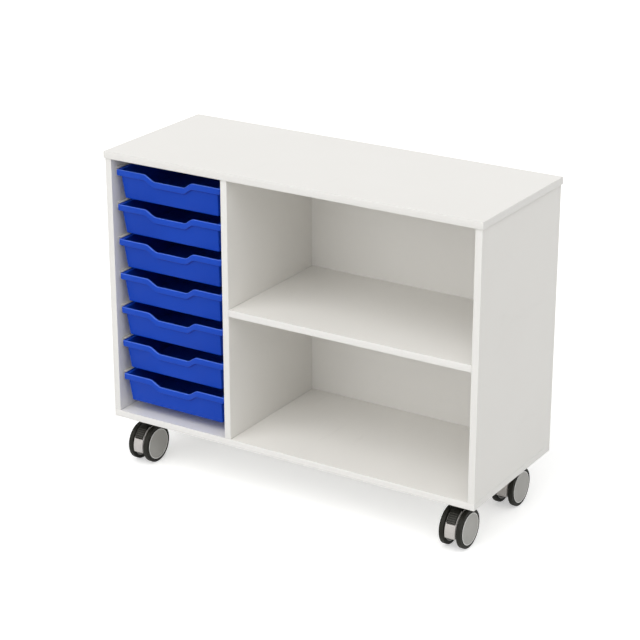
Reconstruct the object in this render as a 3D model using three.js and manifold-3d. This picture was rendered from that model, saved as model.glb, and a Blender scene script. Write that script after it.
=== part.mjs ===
// Mobile classroom tray storage unit: a white board carcass on four twin-wheel castors, with a bay
// of sliding moulded trays on the left and two open bays, one over the other, on the right.
// Millimetres, +Z up, front facing -Y. The origin lies on the floor under the middle of the carcass.

import * as THREE from 'three';
import { mergeVertices } from 'three/addons/utils/BufferGeometryUtils.js';
import Module from 'manifold-3d';

// Clearances
const boardGap = 0.2; // hairline left where two boards butt
const seatGap = 0.3; // between a piece and what it rests on or is fixed to
const turnGap = 0.4; // between a turning piece and the part beside it

// Boards
const boardThickness = 18;
const backThickness = 18;
const edgeRound = 0.8; // softened edge of the edging strip
const topOverhang = 3; // how far the top stands proud of the carcass all round
const openBayWidth = 669.5; // clear width of the right-hand bays
const lowerBayHeight = 329; // clear height under the shelf

// Trays and the room round them
const trayCount = 7;
const trayHeight = 75;
const trayRimWidth = 312;
const trayRimDepth = 365;
const trayGap = 16; // from the bottom of one tray to the rim of the next
const gapOverTrays = 28;
const gapUnderTrays = 27;
const gapBesideTrays = 7.25; // from the rim to the bay wall, where the runner sits
const gapBehindTrays = 7.5;
const traySetback = 9.5; // carcass front to tray lip

// Tray moulding
const trayWall = 2.4;
const trayFloor = 2.6;
const trayFlange = 2.5; // thickness of the rim seen in section
const trayReach = 10; // the rim's overhang at the sides and the back
const trayLipReach = 4; // the lip's overhang in front of the face
const traySideTaper = 5.5;
const trayFrontLean = 10;
const trayRimCorner = 3.5;
const trayWallCorner = 3.5;
const trayTightCorner = 1; // the least corner, where a loop is moved in
const trayFloorRound = 4;
const trayInnerRound = 3;
const traySkirt = 2; // thickness of the turned-down edge
const trayLipDrop = 15; // height of the lip on the front
const traySideDrop = 9; // height of the turned-down edge that runs in the runner
const trayEdgeRound = 1.2;
const dipDepth = 16.6; // finger dip in the middle of the lip
const dipFlat = 84;
const dipSlope = 33; // length of each S-shaped side of the dip
const dipSetback = 4;
const dipSteps = 4; // points on each S-shaped side
const trayCornerSteps = 2;

// Runners: channels that hold the side rims
const runnerWall = 1.6;
const runnerGrip = 5; // how far the lower flange reaches under the rim
const runnerCover = 1.5; // how far the upper flange reaches over the rim
const runnerHeadroom = 0.9;
const runnerSetback = 6; // from the lip's corner back to the front of a runner
const runnerBackGap = 3;

// Castors
const castorInsetX = 66; // swivel axis to the end of the carcass
const castorInsetY = 65.5; // swivel axis to the front or the back of the carcass
const castorTrail = 12; // swivel axis to axle
const wheelRadius = 50;
const wheelWidth = 12;
const wheelSides = 20;
const tyreCrown = 1.2; // how far the tread falls away at its edges
const tyreShow = 9.8; // black ring that shows round the disc
const discOverlap = 1.5; // the disc covers the foot of the tyre by this much
const discThickness = 1.4;
const discDome = 1;
const discLip = 1.2; // bright raised edge of the disc
const hubWeb = 4;
const hubRimWall = 2.2;
const hubFlange = 1.2; // thickness of the hub's ring on the tyre's inner side
const hubBossRadius = 10;
const axleRadius = 4;
const axleCover = 3; // material between the axle's end and the face of the disc

// Castor hood, plate and brake
const hoodWidth = 27.5;
const wheelSideGap = 3.5;
const hoodInset = 1.5; // the hood's arc lies this far inside the tread
const hoodWall = 3;
const hoodCheek = 1.5;
const hoodSkirtDrop = 14; // the hood's lower edge hangs this far below the axle
const axleBossRadius = 8.5;
const neckHeight = 26.5;
const raceRadius = 25; // the swivel bearing's cup under the plate
const raceHeight = 9;
const pinRadius = 6;
const pinBossWall = 4.5;
const pinLength = 56;
const plateSize = 72;
const plateThickness = 3;
const plateCorner = 8;
const plateHoleRadius = 3.2;
const plateHoleInset = 10;
const roundSides = 14;
const arcSteps = 14; // on the long arcs of the hood
const shortArcSteps = 6; // on the pedal's arcs
const ribArcSteps = 2;

const pedalThickness = 5.5;
const pedalRise = 4.5; // how far the pedal stands proud of the hood
const pedalLowAngle = 31; // degrees up from the front of the axle
const pedalHighAngle = 76;
const pedalPivotAngle = 66;
const pedalPivotDepth = 5; // from the hood's arc in to the pedal's pivot
const pedalBossWall = 2.4;
const pedalPinRadius = 2.2;
const pedalSideGap = 0.4;
const pedalPressGap = 3.2; // room under the pedal's end for its press
const pedalRibCount = 5;
const pedalRibDepth = 1.5;
const pedalRibPitchAngle = 6.3;
const pedalRibShare = 0.55; // raised part of each pitch

// Sizes that follow from the ones above
const trayPitch = trayHeight + trayGap;
const clearHeight = gapOverTrays + trayCount * trayPitch - trayGap + gapUnderTrays;
const trayBayWidth = trayRimWidth + 2 * gapBesideTrays;
const clearDepth = traySetback + trayRimDepth + gapBehindTrays;
const carcassWidth = 3 * boardThickness + trayBayWidth + openBayWidth;
const carcassDepth = clearDepth + backThickness;
const carcassHeight = clearHeight + 2 * boardThickness;
const frontY = -carcassDepth / 2;
const trayBayLeft = -carcassWidth / 2 + boardThickness;
const dividerLeft = trayBayLeft + trayBayWidth;
const openBayLeft = dividerLeft + boardThickness;

const axleHeight = wheelRadius * Math.cos(Math.PI / wheelSides); // a flat of the tread meets the floor
const hoodRadius = wheelRadius - hoodInset;
const discRadius = wheelRadius - tyreShow;
const tyreSeat = discRadius - discOverlap;
const wheelInnerX = hoodWidth / 2 + wheelSideGap;
const neckTop = axleHeight + hoodRadius + neckHeight;
const castorHeight = neckTop + seatGap + plateThickness;

// Finishes
const finishes = {
  board: { color: 0xedece8, roughness: 0.55, metalness: 0 },
  tray: { color: 0x2348b8, roughness: 0.38, metalness: 0 },
  runner: { color: 0xdad8d2, roughness: 0.5, metalness: 0 },
  tyre: { color: 0x26262a, roughness: 0.75, metalness: 0 },
  disc: { color: 0x9d9c98, roughness: 0.45, metalness: 0 },
  hood: { color: 0xc4c2bd, roughness: 0.5, metalness: 0 },
  pedal: { color: 0x2b2b2c, roughness: 0.6, metalness: 0 },
  steel: { color: 0xb9bcc0, roughness: 0.35, metalness: 1 },
};

const wasm = await Module();
wasm.setup();

function solid(geometry) {
  const bare = geometry.clone();
  bare.deleteAttribute('normal');
  bare.deleteAttribute('uv');
  const merged = mergeVertices(bare);
  const vertProperties = new Float32Array(merged.attributes.position.array);
  const triVerts = new Uint32Array(merged.index.array);
  return new wasm.Manifold(new wasm.Mesh({ numProp: 3, vertProperties, triVerts }));
}

function geometryOf(body) {
  const mesh = body.getMesh();
  const geometry = new THREE.BufferGeometry();
  geometry.setAttribute('position', new THREE.BufferAttribute(mesh.vertProperties, 3));
  geometry.setIndex(new THREE.BufferAttribute(mesh.triVerts, 1));
  geometry.computeVertexNormals();
  return geometry;
}

function piece(name, geometry, finish) {
  const mesh = new THREE.Mesh(geometry, new THREE.MeshStandardMaterial(finishes[finish]));
  mesh.name = name;
  return mesh;
}

// An outline drawn in X and Z, drawn out along Y and centred on it.
function extrudeAlongY(shape, length) {
  const geometry = new THREE.ExtrudeGeometry(shape, { depth: length, bevelEnabled: false });
  geometry.rotateX(Math.PI / 2);
  return geometry.translate(0, length / 2, 0);
}

// An outline drawn in Y and Z, drawn out along X and centred on it.
function extrudeAlongX(shape, width, steps) {
  const settings = { depth: width, bevelEnabled: false, curveSegments: steps / 2 };
  const geometry = new THREE.ExtrudeGeometry(shape, settings);
  geometry.rotateY(Math.PI / 2);
  geometry.rotateX(Math.PI / 2);
  return geometry.translate(-width / 2, 0, 0);
}

function rodAlongX(radius, length) {
  return new THREE.CylinderGeometry(radius, radius, length, roundSides).rotateZ(Math.PI / 2);
}

function rodAlongZ(radius, length) {
  return new THREE.CylinderGeometry(radius, radius, length, roundSides).rotateX(Math.PI / 2);
}

// A board with softened edges, centred on its own middle.
function boardGeometry(width, depth, height) {
  const face = new THREE.Shape();
  face.moveTo(-width / 2, -depth / 2);
  face.lineTo(width / 2, -depth / 2);
  face.lineTo(width / 2, depth / 2);
  face.lineTo(-width / 2, depth / 2);
  face.closePath();
  const geometry = new THREE.ExtrudeGeometry(face, {
    depth: height - 2 * edgeRound,
    bevelThickness: edgeRound,
    bevelSize: edgeRound,
    bevelOffset: -edgeRound,
    bevelSegments: 2,
  });
  return geometry.translate(0, 0, edgeRound - height / 2);
}

function board(name, size, place) {
  const mesh = piece(name, boardGeometry(...size), 'board');
  mesh.position.set(...place);
  return mesh;
}

// Top and base run the full width; the ends, the divider and the back stand between them.
// The top is a little larger than the carcass, which leaves a thin shadow line under its edge.
function carcassBoards() {
  const standing = clearHeight - 2 * boardGap;
  const inner = clearDepth - boardGap;
  const middle = carcassHeight / 2;
  const innerY = frontY + inner / 2;
  const endX = (carcassWidth - boardThickness) / 2;
  const dividerX = dividerLeft + boardThickness / 2;
  const shelfX = openBayLeft + openBayWidth / 2;
  const shelfZ = boardThickness + lowerBayHeight + boardThickness / 2;
  const backY = frontY + clearDepth + backThickness / 2;
  const backWidth = carcassWidth - 2 * boardThickness - 2 * boardGap;
  const base = [carcassWidth, carcassDepth, boardThickness];
  const top = [carcassWidth + 2 * topOverhang, carcassDepth + 2 * topOverhang, boardThickness];
  const end = [boardThickness, carcassDepth, standing];
  const group = new THREE.Group();
  group.add(board('top_panel', top, [0, 0, carcassHeight - boardThickness / 2]));
  group.add(board('base_panel', base, [0, 0, boardThickness / 2]));
  group.add(board('left_end_panel', end, [-endX, 0, middle]));
  group.add(board('right_end_panel', end, [endX, 0, middle]));
  group.add(board('back_panel', [backWidth, backThickness, standing], [0, backY, middle]));
  group.add(board('centre_divider', [boardThickness, inner, standing], [dividerX, innerY, middle]));
  group.add(board('shelf', [openBayWidth - 2 * boardGap, inner, boardThickness], [shelfX, innerY, shelfZ]));
  return group;
}

// How far down the finger dip is at a place across the lip: 0 on the flats, 1 in the middle.
function dipShare(x) {
  const along = (dipFlat / 2 + dipSlope - Math.abs(x)) / dipSlope;
  return THREE.MathUtils.smoothstep(along, 0, 1);
}

// Places across the lip that draw the dip, from left to right.
function dipPlaces() {
  const right = [];
  for (let step = 0; step <= dipSteps; step += 1) {
    right.push(dipFlat / 2 + (dipSlope * step) / dipSteps);
  }
  const left = right.map((x) => -x).reverse();
  return [...left, ...right];
}

// One closed loop round the tray, counterclockwise from above, with the lip in front at y = 0.
// drop is the loop's depth below the rim along the sides, and lipDrop its depth along the lip.
function trayLoop({ side, front, back, corner, drop, lipDrop = drop, dipped = false }) {
  const half = trayRimWidth / 2 - side;
  const rear = trayRimDepth - back;
  const flat = dipPlaces().map((x) => [x, front]);
  const centres = [
    [half - corner, front + corner, -90],
    [half - corner, rear - corner, 0],
    [corner - half, rear - corner, 90],
    [corner - half, front + corner, 180],
  ];
  const arcs = centres.flatMap(([x, y, start]) => {
    const points = [];
    for (let step = 0; step <= trayCornerSteps; step += 1) {
      const angle = THREE.MathUtils.degToRad(start + (90 * step) / trayCornerSteps);
      points.push([x + corner * Math.cos(angle), y + corner * Math.sin(angle)]);
    }
    return points;
  });
  return [...flat, ...arcs].map(([x, y]) => {
    const dip = dipped ? dipShare(x) : 0;
    const sideShare = THREE.MathUtils.clamp((y - front) / corner, 0, 1);
    const depth = THREE.MathUtils.lerp(lipDrop, drop, sideShare);
    return new THREE.Vector3(x, y + dip * dipSetback, -depth - dip * dipDepth);
  });
}

// A closed skin over loops of equally many points, with a flat end on the first and the last.
function loft(loops) {
  const count = loops[0].length;
  const points = loops.flat();
  const faces = [];
  for (let row = 0; row + 1 < loops.length; row += 1) {
    for (let step = 0; step < count; step += 1) {
      const here = row * count + step;
      const next = row * count + ((step + 1) % count);
      faces.push(here, next, next + count, here, next + count, here + count);
    }
  }
  const lastRow = (loops.length - 1) * count;
  const firstMiddle = points.push(middleOf(loops[0])) - 1;
  const lastMiddle = points.push(middleOf(loops[loops.length - 1])) - 1;
  for (let step = 0; step < count; step += 1) {
    const next = (step + 1) % count;
    faces.push(firstMiddle, next, step, lastMiddle, lastRow + step, lastRow + next);
  }
  const geometry = new THREE.BufferGeometry().setFromPoints(points);
  geometry.setIndex(faces);
  geometry.computeVertexNormals();
  return geometry;
}

function middleOf(loop) {
  const sum = loop.reduce((total, point) => total.add(point), new THREE.Vector3());
  return sum.divideScalar(loop.length);
}

function even(inset) {
  return { side: inset, front: inset, back: inset };
}

// The wall's place at the rim or, with its taper, at the floor, moved in by an inset.
function wallAt(inset, atFloor) {
  const taper = atFloor ? traySideTaper : 0;
  const lean = atFloor ? trayFrontLean : 0;
  return {
    side: trayReach + taper + inset,
    front: trayLipReach + lean + inset,
    back: trayReach + taper + inset,
    corner: Math.max(trayWallCorner - inset, trayTightCorner),
  };
}

// Moulded tray: up the outside, round the turned-down rim and down the inside to the floor.
function trayGeometry() {
  const turned = 1 - Math.SQRT1_2;
  const floorTop = trayHeight - trayFloor;
  const skirtCorner = Math.max(trayRimCorner - traySkirt, trayTightCorner);
  const skirtFoot = { drop: traySideDrop, lipDrop: trayLipDrop, dipped: true };
  return loft([
    trayLoop({ ...wallAt(trayFloorRound, true), drop: trayHeight }),
    trayLoop({ ...wallAt(trayFloorRound * turned, true), drop: trayHeight - trayFloorRound * turned }),
    trayLoop({ ...wallAt(0, true), drop: trayHeight - trayFloorRound }),
    trayLoop({ ...wallAt(0, false), drop: trayFlange, dipped: true }),
    trayLoop({ ...even(traySkirt), corner: skirtCorner, drop: trayFlange, dipped: true }),
    trayLoop({ ...even(traySkirt), corner: skirtCorner, ...skirtFoot }),
    trayLoop({ ...even(0), corner: trayRimCorner, ...skirtFoot }),
    trayLoop({ ...even(0), corner: trayRimCorner, drop: trayEdgeRound, dipped: true }),
    trayLoop({ ...even(trayEdgeRound), corner: trayRimCorner - trayEdgeRound, drop: 0, dipped: true }),
    trayLoop({ ...wallAt(trayWall, false), drop: 0, dipped: true }),
    trayLoop({ ...wallAt(trayWall, true), drop: floorTop - trayInnerRound }),
    trayLoop({ ...wallAt(trayWall + trayInnerRound, true), drop: floorTop }),
  ]);
}

// Channel section of the left runner: its web lies on the bay wall at x = 0, its mouth faces +X.
// z = 0 is the level of the tray's rim.
function runnerSection() {
  const low = -traySideDrop - seatGap;
  const high = runnerHeadroom;
  const lowReach = gapBesideTrays + runnerGrip;
  const highReach = gapBesideTrays + runnerCover;
  const section = new THREE.Shape();
  section.moveTo(seatGap, low - runnerWall);
  section.lineTo(lowReach, low - runnerWall);
  section.lineTo(lowReach, low);
  section.lineTo(seatGap + runnerWall, low);
  section.lineTo(seatGap + runnerWall, high);
  section.lineTo(highReach, high);
  section.lineTo(highReach, high + runnerWall);
  section.lineTo(seatGap, high + runnerWall);
  section.closePath();
  return section;
}

// The trays hang one under the other, each between its own pair of runners.
function trayBay() {
  const runnerFront = traySetback + trayRimCorner + runnerSetback;
  const runnerLength = clearDepth - runnerFront - runnerBackGap;
  const runnerY = frontY + runnerFront + runnerLength / 2;
  const group = new THREE.Group();
  for (let number = 1; number <= trayCount; number += 1) {
    const rimZ = carcassHeight - boardThickness - gapOverTrays - (number - 1) * trayPitch;
    const tray = piece(`tray_${number}`, trayGeometry(), 'tray');
    tray.position.set(trayBayLeft + trayBayWidth / 2, frontY + traySetback, rimZ);
    const left = piece(`runner_left_${number}`, extrudeAlongY(runnerSection(), runnerLength), 'runner');
    left.position.set(trayBayLeft, runnerY, rimZ);
    const right = piece(`runner_right_${number}`, extrudeAlongY(runnerSection(), runnerLength), 'runner');
    right.position.set(dividerLeft, runnerY, rimZ);
    right.rotation.z = Math.PI;
    group.add(tray, left, right);
  }
  return group;
}

function turnedAboutX(profile) {
  const points = profile.map(([radius, along]) => new THREE.Vector2(radius, along));
  const lathe = new THREE.LatheGeometry(points, wheelSides, Math.PI / wheelSides);
  return lathe.rotateZ(-Math.PI / 2);
}

// The tyre's ring, from its inner side at x = 0 to its outer side.
function tyreGeometry() {
  const seat = tyreSeat + seatGap;
  const shoulder = wheelRadius - tyreCrown;
  const profile = [
    [seat, 0],
    [shoulder, 0],
    [wheelRadius, tyreCrown],
    [wheelRadius, wheelWidth - tyreCrown],
    [shoulder, wheelWidth],
    [seat, wheelWidth],
    [seat, 0],
  ];
  return turnedAboutX(profile);
}

// The wheel's centre with its big outer disc; the axle ends in a blind bore behind the disc.
function hubGeometry() {
  const face = wheelWidth + seatGap + discThickness;
  const bore = axleRadius + turnGap;
  const boss = -wheelSideGap + turnGap;
  const webFrom = wheelWidth + seatGap - hubWeb;
  const profile = [
    [0, face - axleCover],
    [bore, face - axleCover],
    [bore, boss],
    [hubBossRadius, boss],
    [hubBossRadius, webFrom],
    [tyreSeat - hubRimWall, webFrom],
    [tyreSeat - hubRimWall, -seatGap - hubFlange],
    [discRadius, -seatGap - hubFlange],
    [discRadius, -seatGap],
    [tyreSeat, -seatGap],
    [tyreSeat, wheelWidth + seatGap],
    [discRadius, wheelWidth + seatGap],
    [discRadius, face],
    [discRadius - discLip, face],
    [discRadius - 2 * discLip, face - discLip / 2],
    [0, face - discLip / 2 + discDome],
  ];
  return turnedAboutX(profile);
}

// Outline of the hood's side in Y and Z about the axle: an arc cut off below by a level edge.
function hoodOutline(radius, drop) {
  const dip = Math.asin(Math.min(drop / radius, 1));
  const outline = new THREE.Shape();
  outline.moveTo(-radius * Math.cos(dip), -drop);
  outline.absarc(0, 0, radius, Math.PI + dip, -dip, true);
  outline.closePath();
  return outline;
}

// A ring sector in Y and Z about the axle; angles are in degrees up from the front.
function sectorOutline(inner, outer, lowAngle, highAngle) {
  const low = Math.PI - THREE.MathUtils.degToRad(lowAngle);
  const high = Math.PI - THREE.MathUtils.degToRad(highAngle);
  const outline = new THREE.Shape();
  outline.moveTo(outer * Math.cos(low), outer * Math.sin(low));
  outline.absarc(0, 0, outer, low, high, true);
  outline.lineTo(inner * Math.cos(high), inner * Math.sin(high));
  outline.absarc(0, 0, inner, high, low, false);
  outline.closePath();
  return outline;
}

function pedalPivot() {
  const angle = THREE.MathUtils.degToRad(pedalPivotAngle);
  const reach = hoodRadius - pedalPivotDepth;
  return [-reach * Math.cos(angle), reach * Math.sin(angle)];
}

// Moulded hood between the wheels, about the axle: a thin arched shell with a boss for the axle,
// a boss for the swivel pin and a neck with the swivel bearing's cup under the plate.
function hoodGeometry(braked) {
  const innerWidth = hoodWidth - 2 * hoodCheek;
  const pinBore = pinRadius + turnGap;
  const pinBoss = pinBore + pinBossWall;
  const top = hoodRadius + neckHeight;
  const pinFoot = top - pinLength;
  const shell = solid(extrudeAlongX(hoodOutline(hoodRadius, hoodSkirtDrop), hoodWidth, arcSteps));
  const hollowRadius = hoodRadius - hoodWall;
  const hollow = solid(extrudeAlongX(hoodOutline(hollowRadius, hollowRadius), innerWidth, arcSteps));
  const axleBoss = solid(rodAlongX(axleBossRadius, hoodWidth));
  const neckFoot = hoodRadius - hoodWall * 2;
  const neck = rodAlongZ(hoodWidth / 2, top - neckFoot).translate(0, castorTrail, (top + neckFoot) / 2);
  const race = rodAlongZ(raceRadius, raceHeight).translate(0, castorTrail, top - raceHeight / 2);
  const pinTube = rodAlongZ(pinBoss, top - pinFoot).translate(0, castorTrail, (top + pinFoot) / 2);
  const pinHole = rodAlongZ(pinBore, top - pinFoot).translate(0, castorTrail, (top + pinFoot) / 2 + seatGap);
  const axleHole = solid(rodAlongX(axleRadius + seatGap, 2 * hoodWidth));
  let body = shell.subtract(hollow).add(axleBoss).add(solid(pinTube));
  body = body.add(solid(neck)).add(solid(race));
  body = body.subtract(solid(pinHole)).subtract(axleHole);
  if (braked) {
    body = body.subtract(solid(pedalWindow()));
    const [y, z] = pedalPivot();
    body = body.subtract(solid(rodAlongX(pedalPinRadius + seatGap, 2 * hoodWidth).translate(0, y, z)));
  }
  return geometryOf(body);
}

// Window in the hood that the brake pedal works in.
function pedalWindow() {
  const press = THREE.MathUtils.radToDeg(pedalPressGap / hoodRadius);
  const play = THREE.MathUtils.radToDeg(pedalSideGap / hoodRadius) * 2;
  const inner = hoodRadius - 2 * hoodWall;
  const outer = hoodRadius + hoodWall;
  const window = sectorOutline(inner, outer, pedalLowAngle - press, pedalHighAngle + play);
  return extrudeAlongX(window, hoodWidth - 2 * hoodCheek, shortArcSteps);
}

// Brake pedal: a curved plate with cross ribs at its end and a pivot boss under its top.
function pedalGeometry() {
  const width = hoodWidth - 2 * hoodCheek - 2 * pedalSideGap;
  const outer = hoodRadius + pedalRise;
  const [y, z] = pedalPivot();
  const plate = sectorOutline(outer - pedalThickness, outer, pedalLowAngle, pedalHighAngle);
  const boss = rodAlongX(pedalPinRadius + seatGap + pedalBossWall, width).translate(0, y, z);
  const hole = rodAlongX(pedalPinRadius + seatGap, 2 * width).translate(0, y, z);
  let body = solid(extrudeAlongX(plate, width, shortArcSteps)).add(solid(boss)).subtract(solid(hole));
  for (let rib = 0; rib < pedalRibCount; rib += 1) {
    const from = pedalLowAngle + (rib + pedalRibShare) * pedalRibPitchAngle;
    const to = pedalLowAngle + (rib + 1) * pedalRibPitchAngle;
    const groove = sectorOutline(outer - pedalRibDepth, outer + pedalRibDepth, from, to);
    body = body.subtract(solid(extrudeAlongX(groove, 2 * width, ribArcSteps)));
  }
  return geometryOf(body);
}

// Mounting plate with screw holes and the swivel pin; z = 0 is the plate's underside.
function plateGeometry() {
  const half = plateSize / 2;
  const straight = half - plateCorner;
  const outline = new THREE.Shape();
  outline.moveTo(half, -straight);
  outline.absarc(straight, straight, plateCorner, 0, Math.PI / 2, false);
  outline.absarc(-straight, straight, plateCorner, Math.PI / 2, Math.PI, false);
  outline.absarc(-straight, -straight, plateCorner, Math.PI, 1.5 * Math.PI, false);
  outline.absarc(straight, -straight, plateCorner, 1.5 * Math.PI, 2 * Math.PI, false);
  const holeAt = half - plateHoleInset;
  for (const [x, y] of [[1, 1], [-1, 1], [-1, -1], [1, -1]]) {
    const hole = new THREE.Path();
    hole.absarc(x * holeAt, y * holeAt, plateHoleRadius, 0, 2 * Math.PI, true);
    outline.holes.push(hole);
  }
  const depth = plateThickness - boardGap;
  const plate = new THREE.ExtrudeGeometry(outline, { depth, bevelEnabled: false, curveSegments: 3 });
  const pin = rodAlongZ(pinRadius, pinLength).translate(0, 0, depth - pinLength / 2);
  return geometryOf(solid(plate).add(solid(pin)));
}

// One wheel of the pair: the hub and its tyre, seen with the disc on the +X side.
function wheel(name, side) {
  const group = new THREE.Group();
  group.add(piece(`${name}_${side}_hub`, hubGeometry(), 'disc'));
  group.add(piece(`${name}_${side}_tyre`, tyreGeometry(), 'tyre'));
  const turned = side === 'left';
  group.position.x = turned ? -wheelInnerX : wheelInnerX;
  group.rotation.z = turned ? Math.PI : 0;
  return group;
}

// A whole castor about its swivel axis, standing on the floor; the wheels trail towards the front.
function castor(name, braked) {
  const group = new THREE.Group();
  const running = new THREE.Group();
  running.position.set(0, -castorTrail, axleHeight);
  const plate = piece(`${name}_plate`, plateGeometry(), 'steel');
  plate.position.z = castorHeight - plateThickness;
  const axleReach = wheelInnerX + wheelWidth + seatGap + discThickness - axleCover - turnGap;
  running.add(piece(`${name}_hood`, hoodGeometry(braked), 'hood'));
  running.add(piece(`${name}_axle`, rodAlongX(axleRadius, 2 * axleReach), 'steel'));
  running.add(wheel(name, 'left'), wheel(name, 'right'));
  if (braked) {
    const [y, z] = pedalPivot();
    const pin = piece(`${name}_pedal_pin`, rodAlongX(pedalPinRadius, hoodWidth), 'steel');
    pin.position.set(0, y, z);
    running.add(piece(`${name}_pedal`, pedalGeometry(), 'pedal'), pin);
  }
  group.add(plate, running);
  return group;
}

function castors() {
  const x = carcassWidth / 2 - castorInsetX;
  const y = carcassDepth / 2 - castorInsetY;
  const group = new THREE.Group();
  const places = [
    ['front_left_castor', -x, -y, true],
    ['front_right_castor', x, -y, true],
    ['rear_left_castor', -x, y, false],
    ['rear_right_castor', x, y, false],
  ];
  for (const [name, atX, atY, braked] of places) {
    const unit = castor(name, braked);
    unit.position.set(atX, atY, 0);
    group.add(unit);
  }
  return group;
}

const unit = new THREE.Group();
const upper = new THREE.Group();
upper.position.z = castorHeight;
upper.add(carcassBoards(), trayBay());
unit.add(upper, castors());

export default unit;
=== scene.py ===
# %% [markdown]
# # A tray storage unit on castors
# A white board carcass holds seven blue trays on its left and an open bay with one shelf on its
# right, and stands on four twin-wheel castors. The CAD model already has every size and every
# joint. This lesson dresses it: each new piece is measured from a CAD node, stands in its place
# and rides on its body, so that a tray still slides and a wheel still turns.

# %% Load the CAD frame
import math

import bmesh
import bpy
from mathutils import Matrix, Vector


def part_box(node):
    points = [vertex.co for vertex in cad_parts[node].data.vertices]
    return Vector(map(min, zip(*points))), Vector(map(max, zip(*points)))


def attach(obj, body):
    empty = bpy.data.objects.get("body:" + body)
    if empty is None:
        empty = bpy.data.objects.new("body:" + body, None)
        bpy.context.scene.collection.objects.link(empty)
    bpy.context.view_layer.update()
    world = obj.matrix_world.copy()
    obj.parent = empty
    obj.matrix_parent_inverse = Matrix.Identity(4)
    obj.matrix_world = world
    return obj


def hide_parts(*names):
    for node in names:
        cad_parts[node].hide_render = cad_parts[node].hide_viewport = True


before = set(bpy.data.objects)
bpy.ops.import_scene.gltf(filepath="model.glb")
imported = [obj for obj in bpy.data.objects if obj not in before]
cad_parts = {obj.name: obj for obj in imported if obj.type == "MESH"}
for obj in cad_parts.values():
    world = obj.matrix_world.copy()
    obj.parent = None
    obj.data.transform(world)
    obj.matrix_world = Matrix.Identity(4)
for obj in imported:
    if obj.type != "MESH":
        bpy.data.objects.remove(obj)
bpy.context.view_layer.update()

# %% [markdown]
# ## The camera
# The viewpoint was worked out from the straight edges of the carcass: where they meet gives the
# turn and the tilt, and how fast they shrink gives the lens. Setting those few numbers is better
# than a helper that frames the object, because then every edge falls on its place.

# %% Camera
MM = 0.001
camera_turn = math.radians(32.001)
camera_tilt = math.radians(21.148)
lens = bpy.data.cameras.new("photo_camera")
lens.lens = 113.15
lens.sensor_width = 36
camera = bpy.data.objects.new("photo_camera", lens)
camera.location = (2.4566, -3.9699, 2.2402)
camera.rotation_euler = (math.pi / 2 - camera_tilt, 0, camera_turn)
bpy.context.scene.collection.objects.link(camera)
bpy.context.scene.camera = camera
bpy.context.scene.view_settings.view_transform = "Standard"
line_of_sight = camera.rotation_euler.to_matrix() @ Vector((0, 0, -1))
print("camera looks along", [round(x, 3) for x in line_of_sight])

# %% [markdown]
# ## Shader helpers
# A material is a small tree of nodes. Two helpers keep each tree readable: one adds a node and
# fills its sockets with values or with other nodes' outputs, the other opens a node group with
# named sockets, so that one effect can serve many materials.

# %% Node helpers
def add(tree, kind, inputs=None, **settings):
    """One shader node; each input gets a value or another node's output."""
    node = tree.nodes.new(kind)
    for key, value in settings.items():
        setattr(node, key, value)
    for key, value in (inputs or {}).items():
        if isinstance(value, bpy.types.NodeSocket):
            tree.links.new(value, node.inputs[key])
        else:
            node.inputs[key].default_value = value
    return node


def new_group(name, inputs, outputs):
    """An empty node group with number sockets; returns the tree and its two end nodes."""
    tree = bpy.data.node_groups.new(name, "ShaderNodeTree")
    for label, value in inputs.items():
        socket = tree.interface.new_socket(label, in_out="INPUT", socket_type="NodeSocketFloat")
        socket.default_value = value
    for label in outputs:
        tree.interface.new_socket(label, in_out="OUTPUT", socket_type="NodeSocketFloat")
    return tree, tree.nodes.new("NodeGroupInput"), tree.nodes.new("NodeGroupOutput")


def new_finish(name):
    """A material with an empty tree apart from its shader, which is returned with it."""
    finish = bpy.data.materials.new(name)
    finish.use_nodes = True
    return finish, finish.node_tree, finish.node_tree.nodes["Principled BSDF"]


def blend_colours(tree, share, first, second):
    """The output of a colour mix between two colours, or between a colour and an output."""
    mix = add(tree, "ShaderNodeMix", data_type="RGBA")
    tree.links.new(share, mix.inputs["Factor"])
    for socket, colour in ((mix.inputs[6], first), (mix.inputs[7], second)):
        if isinstance(colour, bpy.types.NodeSocket):
            tree.links.new(colour, socket)
        else:
            socket.default_value = (*colour, 1)
    return mix.outputs[2]


def between(tree, value, low, high, start=0.0, end=1.0):
    """The output of a Map Range node that carries start to end over to low to high."""
    span = {"Value": value, "From Min": start, "From Max": end, "To Min": low, "To Max": high}
    return add(tree, "ShaderNodeMapRange", span).outputs["Result"]


print("helpers ready")

# %% [markdown]
# ## Light and floor
# The unit stands in a white studio. Lamps near the object would leave the far floor grey, so three
# wide, far lamps give the same soft light everywhere and the world fills the shade. Only rays
# from the camera, and those that metal sends on, see the background as pure white; the floor's
# own shading stays under it, so the shadow is kept.

# %% Lamps
def soft_lamp(name, direction, strength, spread):
    """A wide lamp without distance; direction points from the object to the lamp."""
    data = bpy.data.lights.new(name, "SUN")
    data.energy = strength
    data.angle = math.radians(spread)
    lamp = bpy.data.objects.new(name, data)
    lamp.rotation_euler = Vector(direction).to_track_quat("Z", "Y").to_euler()
    bpy.context.scene.collection.objects.link(lamp)


soft_lamp("front_lamp", (-0.10, -0.75, 0.65), 1.68, 70)
soft_lamp("side_lamp", (0.70, -0.20, 0.68), 0.73, 60)
soft_lamp("top_lamp", (0.0, 0.0, 1.0), 0.925, 90)


# %% White surroundings
def seen_directly(tree):
    """1 for rays of the camera and those that gloss or glass send on, 0 for diffuse light."""
    path = add(tree, "ShaderNodeLightPath")
    pair = {0: path.outputs["Is Camera Ray"], 1: path.outputs["Is Glossy Ray"]}
    some = add(tree, "ShaderNodeMath", pair).outputs[0]
    both = {0: some, 1: path.outputs["Is Transmission Ray"]}
    return add(tree, "ShaderNodeMath", both, use_clamp=True).outputs[0]


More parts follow.
